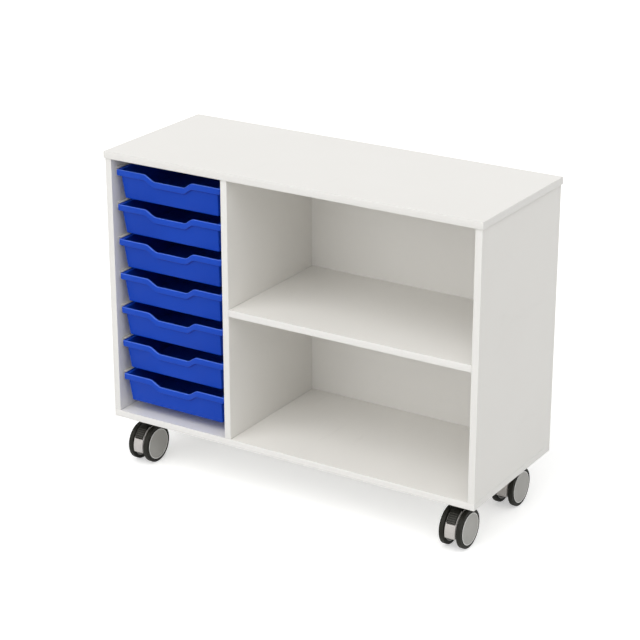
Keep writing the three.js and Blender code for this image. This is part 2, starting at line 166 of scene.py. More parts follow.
world = bpy.data.worlds.new("white_studio")
world.use_nodes = True
bpy.context.scene.world = world
sky = world.node_tree.nodes["Background"]
sky.inputs["Color"].default_value = (1, 1, 1, 1)
tree = world.node_tree
tree.links.new(between(tree, seen_directly(tree), 0.15, 1.0), sky.inputs["Strength"])

floor_finish = bpy.data.materials.new("studio_floor")
floor_finish.use_nodes = True
tree = floor_finish.node_tree
tree.nodes.remove(tree.nodes["Principled BSDF"])
paint = add(tree, "ShaderNodeBsdfDiffuse", {"Color": (0.82, 0.82, 0.81, 1)})
lift = add(tree, "ShaderNodeEmission", {"Strength": between(tree, seen_directly(tree), 0.0, 0.45)})
both = add(tree, "ShaderNodeAddShader", {0: paint.outputs[0], 1: lift.outputs[0]})
tree.links.new(both.outputs[0], tree.nodes["Material Output"].inputs["Surface"])

floor_mesh = bpy.data.meshes.new("studio_floor")
bm = bmesh.new()
bmesh.ops.create_grid(bm, x_segments=2, y_segments=2, size=30)
bm.to_mesh(floor_mesh)
bm.free()
floor_mesh.materials.append(floor_finish)
floor = bpy.data.objects.new("studio_floor", floor_mesh)
bpy.context.scene.collection.objects.link(floor)
print("floor laid:", floor.name)

# %% [markdown]
# ## What every moulded or faced surface shares
# No made surface is perfectly even. Close up it has a fine grain from its mould or press plate,
# over a hand's width its tone drifts a little, and use leaves faint rub marks. One node group
# gives these three as plain numbers, and every material below mixes them in its own amounts.

# %% Shared surface group
skin_tree, skin_in, skin_out = new_group(
    "made_surface", {"Grain": 1500.0, "Drift": 6.0, "Marks": 40.0}, ("Grain", "Drift", "Marks"))
place = add(skin_tree, "ShaderNodeTexCoord").outputs["Object"]
grain = add(skin_tree, "ShaderNodeTexNoise",
            {"Vector": place, "Scale": skin_in.outputs["Grain"], "Detail": 2.0, "Roughness": 0.55})
drift = add(skin_tree, "ShaderNodeTexNoise",
            {"Vector": place, "Scale": skin_in.outputs["Drift"], "Detail": 3.0, "Roughness": 0.5})
leaning = add(skin_tree, "ShaderNodeMapping",
              {"Vector": place, "Rotation": (0.4, 0.7, 0.3), "Scale": (1.0, 0.12, 0.3)}).outputs[0]
rubbed = add(
    skin_tree, "ShaderNodeTexNoise",
    {"Vector": leaning, "Scale": skin_in.outputs["Marks"], "Detail": 5.0, "Roughness": 0.7})
tone_drift = between(skin_tree, drift.outputs["Fac"], 0.0, 1.0, 0.3, 0.7)
rub_marks = between(skin_tree, rubbed.outputs["Fac"], 0.0, 1.0, 0.62, 0.78)
skin_tree.links.new(grain.outputs["Fac"], skin_out.inputs["Grain"])
skin_tree.links.new(tone_drift, skin_out.inputs["Drift"])
skin_tree.links.new(rub_marks, skin_out.inputs["Marks"])
print("group:", skin_tree.name, [s.name for s in skin_tree.interface.items_tree])


def made_surface(tree, grain, drift, marks):
    """The shared group in a material, with its three scales in features per metre."""
    node = add(tree, "ShaderNodeGroup", node_tree=skin_tree)
    for label, value in (("Grain", grain), ("Drift", drift), ("Marks", marks)):
        node.inputs[label].default_value = value
    return node.outputs["Grain"], node.outputs["Drift"], node.outputs["Marks"]


def dented(tree, shader, height, depth, strength):
    """Feeds a height into the shader's normal; depth is the height of a full step in metres."""
    bump = add(tree, "ShaderNodeBump", {"Height": height, "Distance": depth, "Strength": strength})
    tree.links.new(bump.outputs["Normal"], shader.inputs["Normal"])


# %% [markdown]
# ## White melamine board
# The carcass is chipboard faced with white melamine, pressed against a plate with a fine pearl
# texture, and edged with a millimetre of plastic strip. The face is nearly one tone, so its
# colour drifts by less than a hundredth; most of what shows is the pearl in its sheen. A strip
# is a little smoother, and the thin line of glue beside it is a shade darker. The strip is also
# painted a few hundredths darker than the face, as painted shade on the board edges.

# %% Board finishes
def board_finish(name, pale, deep, grain, smooth, rough):
    finish, tree, shader = new_finish(name)
    pearl, drift, marks = made_surface(tree, grain, 5.0, 30.0)
    tone = blend_colours(tree, drift, pale, deep)
    tone = blend_colours(tree, between(tree, marks, 0.0, 0.12), tone, (0.60, 0.585, 0.55))
    tree.links.new(tone, shader.inputs["Base Color"])
    tree.links.new(between(tree, pearl, smooth, rough, 0.3, 0.7), shader.inputs["Roughness"])
    dented(tree, shader, pearl, 0.00004, 0.35)
    return finish


melamine = board_finish("white_melamine", (0.865, 0.850, 0.817), (0.856, 0.840, 0.806),
                        1400.0, 0.38, 0.52)
# The edging is painted a few hundredths darker than the face: painted shade on the board edges.
edging_with_painted_shade = board_finish("white_edging", (0.838, 0.824, 0.795), (0.824, 0.811, 0.782),
                      2600.0, 0.30, 0.42)
glue_line = board_finish("glue_line", (0.60, 0.57, 0.51), (0.52, 0.49, 0.43), 2600.0, 0.5, 0.7)
print("board finishes:", melamine.name, edging_with_painted_shade.name, glue_line.name)

# %% [markdown]
# ## Finishing a piece
# Every piece ends the same way: its mesh gets its materials and smooth shading with hard corners
# kept hard, it rides on its CAD body, and the CAD node it stands for is hidden. A helper does it,
# so no piece can forget a step.

# %% Helpers for pieces
def boxed(low, high):
    """A bmesh with one block between two corners."""
    bm = bmesh.new()
    bmesh.ops.create_cube(bm, size=1)
    bmesh.ops.scale(bm, vec=high - low, verts=bm.verts)
    bmesh.ops.translate(bm, vec=(low + high) / 2, verts=bm.verts)
    return bm


def corners_of(node):
    """A CAD node's lowest and highest corner as vectors, in metres."""
    low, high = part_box(node)
    return Vector(low), Vector(high)


def round_edges(bm, edges, radius, segments):
    """Rounds edges by a radius and returns the new faces."""
    made = bmesh.ops.bevel(bm, geom=edges, offset=radius, segments=segments, profile=0.5,
                           affect="EDGES", material=-1, clamp_overlap=False)
    return made["faces"]


def sharp_edges(bm, angle):
    """The edges where two faces meet at more than this angle, in degrees."""
    inner = [edge for edge in bm.edges if len(edge.link_faces) == 2]
    return [edge for edge in inner if edge.calc_face_angle() > math.radians(angle)]


def finished(bm, name, node, body, finishes, crease=40):
    """Turns the bmesh into a piece that stands for the node and rides on the body."""
    bmesh.ops.recalc_face_normals(bm, faces=bm.faces)
    mesh = bpy.data.meshes.new(name)
    bm.to_mesh(mesh)
    bm.free()
    for finish in finishes:
        mesh.materials.append(finish)
    mesh.shade_smooth()
    mesh.set_sharp_from_angle(angle=math.radians(crease))
    piece = bpy.data.objects.new(name, mesh)
    bpy.context.scene.collection.objects.link(piece)
    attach(piece, body)
    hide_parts(node)
    return piece


# %% [markdown]
# ## The boards
# A plain block would do from far away, but a real board is known by its edges: slightly eased
# corners, and the edging strip with its glue line. So each block has its corners rounded first,
# and then two cuts behind every edged side part the strip and the glue line from the face.

# %% Boards
FRONT, BACK, LEFT, RIGHT = (1, -1), (1, 1), (0, -1), (0, 1)
strip = 1.0 * MM
glue = 0.18 * MM
eased = 0.8 * MM


def edged_board(node, sides):
    low, high = corners_of(node)
    bm = boxed(low, high)
    round_edges(bm, bm.edges[:], eased, 3)
    edges = []
    for axis, side in sides:
        outward = Vector([side if i == axis else 0 for i in range(3)])
        outer = high if side > 0 else low
        edges.append((outer, outward))
        for depth in (strip, strip + glue):
            bmesh.ops.bisect_plane(bm, geom=bm.verts[:] + bm.edges[:] + bm.faces[:],
                                   plane_co=outer - outward * depth, plane_no=outward)
    for face in bm.faces:
        middle = face.calc_center_median()
        depth = min([(outer - middle).dot(outward) for outer, outward in edges], default=1)
        face.material_index = 1 if depth < strip else 2 if depth < strip + glue else 0
    finishes = (melamine, edging_with_painted_shade, glue_line)
    return finished(bm, node + "_board", node, "carcass", finishes)


all_round = (FRONT, BACK, LEFT, RIGHT)
for node, sides in (("top_panel", all_round), ("base_panel", all_round),
                    ("left_end_panel", (FRONT, BACK)), ("right_end_panel", (FRONT, BACK)),
                    ("back_panel", ()), ("centre_divider", (FRONT,)), ("shelf", (FRONT,))):
    board = edged_board(node, sides)
    print(board.name, len(board.data.polygons), "faces")

# %% [markdown]
# ## Blue polypropylene
# The trays are moulded in one shot of blue polypropylene. It has a satin skin with a fine grain
# from the mould, a slow change of tone where the melt flowed and faint paler rub marks on the front
# of the lip that hands touch. A paler band along the top of the lip is a painted highlight, and a
# thin darker line under the lip is painted shadow. The mesh carries a number for each: one for the
# rub together with the painted highlight, and one for how far a place is below the lip.

# %% Tray finish
def carried(tree, number):
    """The output of an Attribute node for a number that the mesh carries."""
    return add(tree, "ShaderNodeAttribute", attribute_name=number).outputs["Fac"]


def ragged(tree, share, marks):
    """A share that the marks break up."""
    gaps = between(tree, marks, 0.7, 1.0)
    return add(tree, "ShaderNodeMath", {0: share, 1: gaps}, operation="MULTIPLY").outputs[0]


blue, tree, shader = new_finish("blue_polypropylene")
grain, drift, marks = made_surface(tree, 1100.0, 7.0, 55.0)
tone = blend_colours(tree, drift, (0.0034, 0.059, 0.500), (0.0028, 0.052, 0.457))
# Paler blue where hands rub the front of the lip, and a painted highlight along the top of the lip.
worn_and_highlit = between(tree, ragged(tree, carried(tree, "wear_and_highlight"), marks), 0.0, 0.9)
tone = blend_colours(tree, worn_and_highlit, tone, (0.150, 0.290, 0.950))
# Painted shadow: a thin darker line on the front wall just under the lip.
lip_shadow = ragged(tree, between(tree, carried(tree, "below_lip"), 1.0, 0.0, 0.5, 1.0), marks)
tone = blend_colours(tree, lip_shadow, tone, (0.0008, 0.026, 0.350))
tree.links.new(tone, shader.inputs["Base Color"])
tree.links.new(between(tree, marks, 0.36, 0.48), shader.inputs["Roughness"])
shader.inputs["Specular IOR Level"].default_value = 0.12
dented(tree, shader, grain, 0.00005, 0.25)
print("tray finish:", blue.name)

# %% [markdown]
# ## The trays
# A tray is one thin skin: a box with rounded corners, walls that lean in towards the floor, and a
# rim that turns out and then down, with a shallow dip in front for the fingers. It could be cut
# from a solid, but a skin is how it is moulded. A block without its lid gives the walls, bevels
# give the corners, two extrusions give the rim, cuts across the front make room for the dip, and
# solidify gives the wall its thickness.

# %% Tray walls
tray_wall = 2.0 * MM
rim_reach = 10.0 * MM
lip_reach = 4.0 * MM
tray_corner = 2.4 * MM
lip_height = 15 * MM
side_height = 9 * MM
front_lean = 10 * MM
side_lean = 5.5 * MM
dip_flat = 42 * MM
dip_reach = 75 * MM
dip_setback = 4 * MM
dip_depth = 16.6 * MM


def tray_walls(low, high):
    """The open box, leaning in towards its floor; its open edge is the underside of the rim."""
    middle = (low + high) / 2
    inset = Vector((rim_reach, lip_reach, 0)), Vector((rim_reach, rim_reach, tray_wall))
    bm = boxed(low + inset[0], high - inset[1])
    bmesh.ops.delete(bm, geom=[f for f in bm.faces if f.normal.z > 0.5], context="FACES")
    for vert in bm.verts:
        if vert.co.z < middle.z:
            vert.co.x += side_lean if vert.co.x < middle.x else -side_lean
            vert.co.y += front_lean if vert.co.y < middle.y else -side_lean
    upright = [e for e in bm.edges if abs(e.verts[0].co.z - e.verts[1].co.z) > 30 * MM]
    foot = [e for e in bm.edges if max(v.co.z for v in e.verts) < low.z + 0.01 * MM]
    round_edges(bm, upright + foot, tray_corner, 4)
    return bm


# %% Tray rim and finger dip
def made_verts(made):
    return [item for item in made["geom"] if isinstance(item, bmesh.types.BMVert)]


def with_bounds(faces):
    """Faces together with their edges and corners, as a cut needs them."""
    edges = {edge for face in faces for edge in face.edges}
    corners = {vert for face in faces for vert in face.verts}
    return list(corners | edges | set(faces))


def turned_rim(bm, low, high):
    """Carries the open edge outwards, and then down as a skirt that is deeper in front."""
    middle = (low + high) / 2
    made = bmesh.ops.extrude_edge_only(bm, edges=[e for e in bm.edges if e.is_boundary])
    for vert in made_verts(made):
        vert.co.x += (rim_reach - tray_wall) * (1 if vert.co.x > middle.x else -1)
        vert.co.y += rim_reach - tray_wall if vert.co.y > middle.y else tray_wall - lip_reach
    made = bmesh.ops.extrude_edge_only(bm, edges=[e for e in bm.edges if e.is_boundary])
    for vert in made_verts(made):
        side = min((vert.co.y - low.y - tray_wall) / tray_corner, 1)
        vert.co.z -= lip_height * (1 - side) + side_height * side - tray_wall


def dip_share(x, low, high):
    """How far down the dip is at a place across the lip: 0 beside it, 1 in the middle."""
    share = (dip_reach - abs(x - (low.x + high.x) / 2)) / (dip_reach - dip_flat)
    share = min(max(share, 0), 1)
    return share * share * (3 - 2 * share)


def finger_dip(bm, low, high):
    """Cuts the front of the rim across and lowers it in a flat dip between two soft slopes."""
    middle = (low.x + high.x) / 2
    slope = dip_reach - dip_flat
    cuts = [dip_flat * i / 3 for i in range(-2, 3)]
    cuts += [side * (dip_flat + slope * i / 12) for i in range(13) for side in (-1, 1)]
    for cut in cuts:
        front = [f for f in bm.faces if f.calc_center_median().y < low.y + 10 * MM]
        bmesh.ops.bisect_plane(bm, geom=with_bounds(front), plane_co=(middle + cut, 0, 0),
                               plane_no=(1, 0, 0))
    for vert in bm.verts:
        if vert.co.y < low.y + 1.5 * lip_reach and vert.co.z > high.z - lip_height - 1 * MM:
            share = dip_share(vert.co.x, low, high)
            vert.co.z -= dip_depth * share
            vert.co.y += dip_setback * share


# %% Wear, painted highlight and painted shadow on a tray
handled = 0.07  # rub on the front of the lip
lip_shadow_height = 5 * MM


def note_wear_and_highlight(bm, low, high):
    """Writes one number: painted highlight along the lip's top, a little rub on its front."""
    wear_and_highlight = bm.verts.layers.float.new("wear_and_highlight")
    depth = high.y - low.y
    side_rims = [f for f in bm.faces if max(e.calc_length() for e in f.edges) > 0.8 * depth
                 and (abs(f.normal.x) > 0.5 or f.normal.z > 0.5)]
    clean = {vert for face in side_rims for vert in face.verts}
    for vert in set(bm.verts) - clean:
        share = dip_share(vert.co.x, low, high)
        behind = vert.co.y - low.y - dip_setback * share
        below = high.z - dip_depth * share - vert.co.z
        if behind < lip_reach + 0.5 * MM and below < 0.6 * MM:
            vert[wear_and_highlight] = 1.0
        elif behind < 0.3 * MM:
            vert[wear_and_highlight] = handled


def note_lip_shadow(bm, low, high):
    """Writes how far each place on the front wall is below the lip, in painted shadow heights."""
    below_lip = bm.verts.layers.float.new("below_lip")
    for vert in bm.verts:
        vert[below_lip] = 1.0
    for face in bm.faces:
        heights = [vert.co.z for vert in face.verts]
        if face.normal.y < -0.9 and max(heights) - min(heights) > 25 * MM:
            for vert in face.verts:
                lip_foot = high.z - lip_height - dip_depth * dip_share(vert.co.x, low, high)
                vert[below_lip] = (lip_foot - vert.co.z) / lip_shadow_height


# %% Trays
crest_radius = 1.4 * MM
edge_radius = 0.8 * MM


def tray_shell(node):
    low, high = corners_of(node)
    bm = tray_walls(low, high)
    turned_rim(bm, low, high)
    finger_dip(bm, low, high)
    bmesh.ops.recalc_face_normals(bm, faces=bm.faces)
    bmesh.ops.solidify(bm, geom=bm.faces[:], thickness=-tray_wall)
    bmesh.ops.recalc_face_normals(bm, faces=bm.faces)
    crest = [e for e in sharp_edges(bm, 50) if max(f.normal.z for f in e.link_faces) > 0.6
             and e.calc_face_angle_signed() > 0 and e.verts[0].co.z > high.z - 20 * MM]
    round_edges(bm, crest, crest_radius, 4)
    round_edges(bm, sharp_edges(bm, 50), edge_radius, 3)
    note_wear_and_highlight(bm, low, high)
    note_lip_shadow(bm, low, high)
    return finished(bm, node + "_shell", node, node, (blue,), 50)


def measure(piece):
    """A piece's lowest and highest corner in millimetres, for the printed notes."""
    places = [piece.matrix_world @ vert.co for vert in piece.data.vertices]
    lows = [round(1000 * min(p[i] for p in places), 1) for i in range(3)]
    return lows, [round(1000 * max(p[i] for p in places), 1) for i in range(3)]


for number in range(1, 8):
    tray = tray_shell(f"tray_{number}")
    print(tray.name, len(tray.data.polygons), "faces", *measure(tray))

# %% [markdown]
# ## Pale plastic and zinc-plated steel
# The runners are pale moulded plastic, a little greyer than the boards, and their screws and the
# castor plates are steel with a thin zinc plating. Zinc dries in soft, slightly blue and yellow
# clouds; one noise of clouds drives the colour, and a finer grain drives the roughness.

# %% Runner and steel finishes
pale_plastic, tree, shader = new_finish("pale_plastic")
grain, drift, marks = made_surface(tree, 1300.0, 14.0, 70.0)
tone = blend_colours(tree, drift, (0.66, 0.64, 0.59), (0.60, 0.58, 0.53))
tone = blend_colours(tree, between(tree, marks, 0.0, 0.3), tone, (0.40, 0.39, 0.37))
tree.links.new(tone, shader.inputs["Base Color"])
tree.links.new(between(tree, drift, 0.38, 0.5), shader.inputs["Roughness"])
dented(tree, shader, grain, 0.00004, 0.3)

zinc, tree, shader = new_finish("zinc_plated_steel")
grain, drift, marks = made_surface(tree, 700.0, 45.0, 160.0)
tone = blend_colours(tree, drift, (0.60, 0.62, 0.66), (0.66, 0.64, 0.58))
tone = blend_colours(tree, between(tree, marks, 0.0, 0.5), tone, (0.40, 0.39, 0.37))
tree.links.new(tone, shader.inputs["Base Color"])
tree.links.new(between(tree, grain, 0.28, 0.46, 0.3, 0.7), shader.inputs["Roughness"])
shader.inputs["Metallic"].default_value = 1.0
dented(tree, shader, grain, 0.00003, 0.2)
print("finishes:", pale_plastic.name, zinc.name)

# %% [markdown]
# ## The runners
# Each tray hangs by its side rims in two channels that are screwed to the bay walls. A channel is
# extruded on the real machine, so it is extruded here: four points draw the section, one sweep
# gives the length and solidify the wall. Screw heads are short cones with a pressed-in drive.

# %% Runners
runner_wall = 1.6 * MM
runner_roof = 8.45 * MM
screw_radius = 3.4 * MM
screw_height = 1.6 * MM


def screw_head(bm, place, turn, radius, height):
    """A low screw head whose axis is turned from +Z; returns its faces."""
    before = set(bm.faces)
    bmesh.ops.create_cone(bm, cap_ends=True, segments=24, radius1=radius, radius2=radius * 0.68,
                          depth=height, matrix=Matrix.Translation(place) @ turn)
    up = turn.to_3x3() @ Vector((0, 0, 1))
    top = max(set(bm.faces) - before, key=lambda f: f.calc_center_median().dot(up))
    bmesh.ops.inset_individual(bm, faces=[top], thickness=radius * 0.3, depth=0)
    bmesh.ops.inset_individual(bm, faces=[top], thickness=radius * 0.05, depth=-height * 0.55)
    return set(bm.faces) - before


def runner_channel(node):
    low, high = corners_of(node)
    inward = 1 if "left" in node else -1
    wall, mouth = (low.x, high.x) if inward > 0 else (high.x, low.x)
    section = ((mouth, low.z), (wall, low.z), (wall, high.z), (wall + inward * runner_roof, high.z))
    bm = bmesh.new()
    points = [bm.verts.new((x, low.y, z)) for x, z in section]
    line = [bm.edges.new(pair) for pair in zip(points, points[1:])]
    made = bmesh.ops.extrude_edge_only(bm, edges=line)
    bmesh.ops.translate(bm, vec=(0, high.y - low.y, 0), verts=made_verts(made))
    bm.normal_update()
    web = min(bm.faces, key=lambda f: abs(f.calc_center_median().x - wall))
    if web.normal.x * inward > 0:
        bmesh.ops.reverse_faces(bm, faces=bm.faces)
    bm.normal_update()
    bmesh.ops.solidify(bm, geom=bm.faces[:], thickness=runner_wall)
    round_edges(bm, sharp_edges(bm, 50), 0.4 * MM, 2)
    turn = Matrix.Rotation(math.radians(90 * inward), 4, "Y")
    for share in (0.08, 0.5, 0.92):
        place = (low + high) / 2
        place.x = wall + inward * (runner_wall + screw_height / 2)
        place.y = low.y + share * (high.y - low.y)
        for face in screw_head(bm, place, turn, screw_radius, screw_height):
            face.material_index = 1
    return finished(bm, node + "_channel", node, "carcass", (pale_plastic, zinc), 50)


for number in range(1, 8):
    for side in ("left", "right"):
        runner = runner_channel(f"runner_{side}_{number}")
print("last runner:", runner.name, len(runner.data.polygons), "faces", *measure(runner))

# %% [markdown]
# ## Castor finishes
# A castor has four plastics and one rubber. The tyre is a soft black tread that picks up dust, the
# discs are mid-grey with faint rings from the mould and a paler edge, the hood is light grey and
# the pedal black. The rings need to know how far a point is from the axle, so the mesh carries
# that distance as a number called turned, and a one-dimensional noise reads it.

# %% Tyre, hood and pedal finishes
def moulded_finish(name, pale, deep, scuffed, smooth, rough, gloss):
    finish, tree, shader = new_finish(name)
    grain, drift, marks = made_surface(tree, 1600.0, 30.0, 120.0)
    tone = blend_colours(tree, drift, pale, deep)
    tone = blend_colours(tree, between(tree, marks, 0.0, 0.55), tone, scuffed)
    tree.links.new(tone, shader.inputs["Base Color"])
    tree.links.new(between(tree, grain, smooth, rough, 0.3, 0.7), shader.inputs["Roughness"])
    shader.inputs["Specular IOR Level"].default_value = gloss
    dented(tree, shader, grain, 0.00006, 0.35)
    return finish


tread_rubber = moulded_finish("tread_rubber", (0.014, 0.0138, 0.0098), (0.010, 0.0098, 0.007),
                              (0.045, 0.043, 0.036), 0.5, 0.7, 0.2)
hood_plastic = moulded_finish("hood_plastic", (0.56, 0.535, 0.51), (0.524, 0.50, 0.476),
                              (0.38, 0.365, 0.345), 0.38, 0.52, 0.4)
disc_edge = moulded_finish("disc_edge", (0.80, 0.795, 0.78), (0.76, 0.755, 0.74),
                           (0.55, 0.54, 0.52), 0.3, 0.42, 0.4)
print("castor finishes:", tread_rubber.name, hood_plastic.name, disc_edge.name)

# %% Pedal finish
pedal_plastic, tree, shader = new_finish("pedal_plastic")
grain, drift, marks = made_surface(tree, 1600.0, 30.0, 120.0)
tone = blend_colours(tree, drift, (0.014, 0.0138, 0.0105), (0.011, 0.0108, 0.008))
# The rib tops are painted paler: scuffing from shoes together with a painted highlight.
rib_tops_scuff_and_highlight = blend_colours(tree, ragged(tree, carried(tree, "wear_and_highlight"), marks), tone, (0.058, 0.056, 0.049))
tree.links.new(rib_tops_scuff_and_highlight, shader.inputs["Base Color"])
tree.links.new(between(tree, grain, 0.42, 0.6, 0.3, 0.7), shader.inputs["Roughness"])
shader.inputs["Specular IOR Level"].default_value = 0.2
dented(tree, shader, grain, 0.00006, 0.35)
print("pedal finish:", pedal_plastic.name)

# %% Disc finish
disc_plastic, tree, shader = new_finish("disc_plastic")
grain, drift, marks = made_surface(tree, 1600.0, 25.0, 120.0)
ring_noise = {"W": carried(tree, "turned"), "Scale": 900.0, "Detail": 3.0}
rings = add(tree, "ShaderNodeTexNoise", ring_noise, noise_dimensions="1D")
tone = blend_colours(tree, drift, (0.425, 0.418, 0.395), (0.395, 0.388, 0.366))
tone = blend_colours(tree, between(tree, marks, 0.0, 0.4), tone, (0.22, 0.215, 0.205))
tree.links.new(tone, shader.inputs["Base Color"])
tree.links.new(between(tree, rings.outputs["Fac"], 0.32, 0.5, 0.3, 0.7), shader.inputs["Roughness"])
shader.inputs["Specular IOR Level"].default_value = 0.4
dented(tree, shader, rings.outputs["Fac"], 0.00008, 0.3)
print("disc finish:", disc_plastic.name)

# %% [markdown]
# ## The wheels
# Tyres and hubs are turned shapes, so a section is drawn with a few points beside the axle and
# spun round it. The tyre is a plain ring whose corners are then bevelled into a crown. The hub
# reaches from the blind bore for the axle over the big outer disc to the ring inside the tyre.

# %% Wheels
disc_radius = 40.2 * MM
seat_radius = 38.7 * MM
rim_radius = 36.5 * MM
boss_radius = 10 * MM
bore_radius = 4.4 * MM
crown_radius = 20 * MM  # inside it the disc swells a little more
disc_proud = 1.7 * MM  # how far the disc stands out of the tyre
web_depth = 3.7 * MM
bore_floor = 3 * MM
flange = 1.5 * MM
fit_gap = 0.3 * MM
tyre_crown = 1.2 * MM


def spun(section, centre, outward, steps=80):
    """Spins a section of (distance from axle, distance outward) pairs round the X axis."""
    bm = bmesh.new()
    points = [bm.verts.new(centre + Vector((outward * along, 0, radius)))
              for radius, along in section]
    line = [bm.edges.new(pair) for pair in zip(points, points[1:])]
    bmesh.ops.spin(bm, geom=points + line, cent=centre, axis=(1, 0, 0), angle=2 * math.pi,
                   steps=steps, use_merge=True)
    bmesh.ops.remove_doubles(bm, verts=bm.verts, dist=0.001 * MM)
    bmesh.ops.recalc_face_normals(bm, faces=bm.faces)
    return bm


def out_from(point, centre):
    """Distance of a point from the axle through the centre."""
    return math.hypot(point.y - centre.y, point.z - centre.z)


def wheel_pieces(castor, side):
    node = f"{castor}_castor_{side}"
    body = f"{castor}_{side}_wheel"
    low, high = corners_of(node + "_tyre")
    outward = -1 if side == "left" else 1
    radius, width = (high.z - low.z) / 2, high.x - low.x
    inner_end = 1 if side == "left" else 0  # which corner of a box is next to the hood
    centre = (low + high) / 2
    centre.x = (low, high)[inner_end].x
    hub_reach = abs(corners_of(node + "_hub")[inner_end].x - centre.x)

    inside = seat_radius + fit_gap
    ring = [(inside, 0), (radius, 0), (radius, width), (inside, width), (inside, 0)]
    bm = spun(ring, centre, outward)
    crown = [e for e in bm.edges if all(out_from(v.co, centre) > radius - 0.5 * MM for v in e.verts)
             and e.calc_face_angle() > 1]
    round_edges(bm, crown, tyre_crown, 4)
    tyre = finished(bm, node + "_tread", node + "_tyre", body, (tread_rubber,), 60)

    disc, seat, rim, bore, boss = disc_radius, seat_radius, rim_radius, bore_radius, boss_radius
    face, web = width + disc_proud, width - web_depth
    back, bottom = width + fit_gap, face - bore_floor
    section = [(0, bottom), (bore, bottom), (bore, -hub_reach), (boss, -hub_reach), (boss, web),
               (rim, web), (rim, -flange), (disc, -flange), (disc, -fit_gap), (seat, -fit_gap),
               (seat, back), (disc, back), (disc, face), (disc - 1.3 * MM, face),
               (disc - 2.1 * MM, face - 0.6 * MM), (crown_radius, face + 0.1 * MM),
               (0, face + 0.4 * MM)]
    bm = spun(section, centre, outward)
    round_edges(bm, sharp_edges(bm, 35), 0.3 * MM, 2)
    turned = bm.verts.layers.float.new("turned")
    for vert in bm.verts:
        vert[turned] = out_from(vert.co, centre)
    for f in bm.faces:
        place = f.calc_center_median()
        edge = out_from(place, centre) > disc - 2.0 * MM and (place.x - centre.x) * outward > back
        f.material_index = 1 if edge else 0
    finishes = (disc_plastic, disc_edge)
    hub = finished(bm, node + "_disc", node + "_hub", body, finishes, 35)
    return tyre, hub


castors = ("front_left", "front_right", "rear_left", "rear_right")
for castor in castors:
    for side in ("left", "right"):
        tyre, hub = wheel_pieces(castor, side)
print(tyre.name, *measure(tyre))
print(hub.name, *measure(hub))

# %% [markdown]
# ## Hoods, pedals and plates
# The hood is a thin arched cover between the wheels, open below; on the front castors a window in
# it lets the brake pedal through. A circle cut off by a level plane and pulled out to its width
# gives the arch, cuts mark the window before its faces are deleted, and solidify makes the wall.
# The crown of a braked hood is black like its pedal. The pedal is a short arc with cross ribs under
# the toe: a spun bar whose rib faces are raised.

# %% Hoods
hood_radius = 48.5 * MM
hood_wall = 1.5 * MM
hood_width = 27.5 * MM
hood_foot = 14 * MM  # how far the hood reaches below the axle
hood_crown = 46.5 * MM  # height over the axle from which a braked hood is black
castor_trail = 12 * MM
window_from, window_to = 27.2, 77.2  # degrees up from the front
cup_radius = 25 * MM
cup_height = 9 * MM
neck_into_hood = 6 * MM
neck_into_cup = 4 * MM
hub_boss_radius = 8.5 * MM


def rod(bm, start, end, radius, soften):
    """Adds a round bar between two points, with softened ends."""
    along = end - start
    turn = along.to_track_quat("Z", "Y").to_matrix().to_4x4()
    place = Matrix.Translation((start + end) / 2)
    made = bmesh.ops.create_cone(bm, cap_ends=True, segments=64, radius1=radius, radius2=radius,
                                 depth=along.length, matrix=place @ turn)
    edges = {e for v in made["verts"] for e in v.link_edges if len(e.link_faces) == 2}
    round_edges(bm, [e for e in edges if e.calc_face_angle() > 1], soften, 3)


def angle_up(point, axle):
    """Degrees up from the front, seen along the axle."""
    return math.degrees(math.atan2(point.z - axle.z, axle.y - point.y))


def cut_window(bm, axle, half_width, low_angle, high_angle):
    """Cuts the arch along the window's four sides and deletes what lies between them."""
    def arch():
        return with_bounds([f for f in bm.faces if abs(f.normal.x) < 0.5])

    for side in (-1, 1):
        window_side = axle + Vector((side * half_width, 0, 0))
        bmesh.ops.bisect_plane(bm, geom=arch(), plane_co=window_side, plane_no=(1, 0, 0))
    for degrees in (low_angle, high_angle):
        angle = math.radians(degrees)
        across = (0, math.sin(angle), math.cos(angle))
        bmesh.ops.bisect_plane(bm, geom=arch(), plane_co=axle, plane_no=across)
    bm.normal_update()
    inside = []
    for face in bm.faces:
        place = face.calc_center_median()
        if abs(face.normal.x) < 0.5 and abs(place.x - axle.x) < half_width:
            if low_angle < angle_up(place, axle) < high_angle:
                inside.append(face)
    bmesh.ops.delete(bm, geom=inside, context="FACES")


def castor_axle(castor):
    low, high = corners_of(f"{castor}_castor_axle")
    return (low + high) / 2


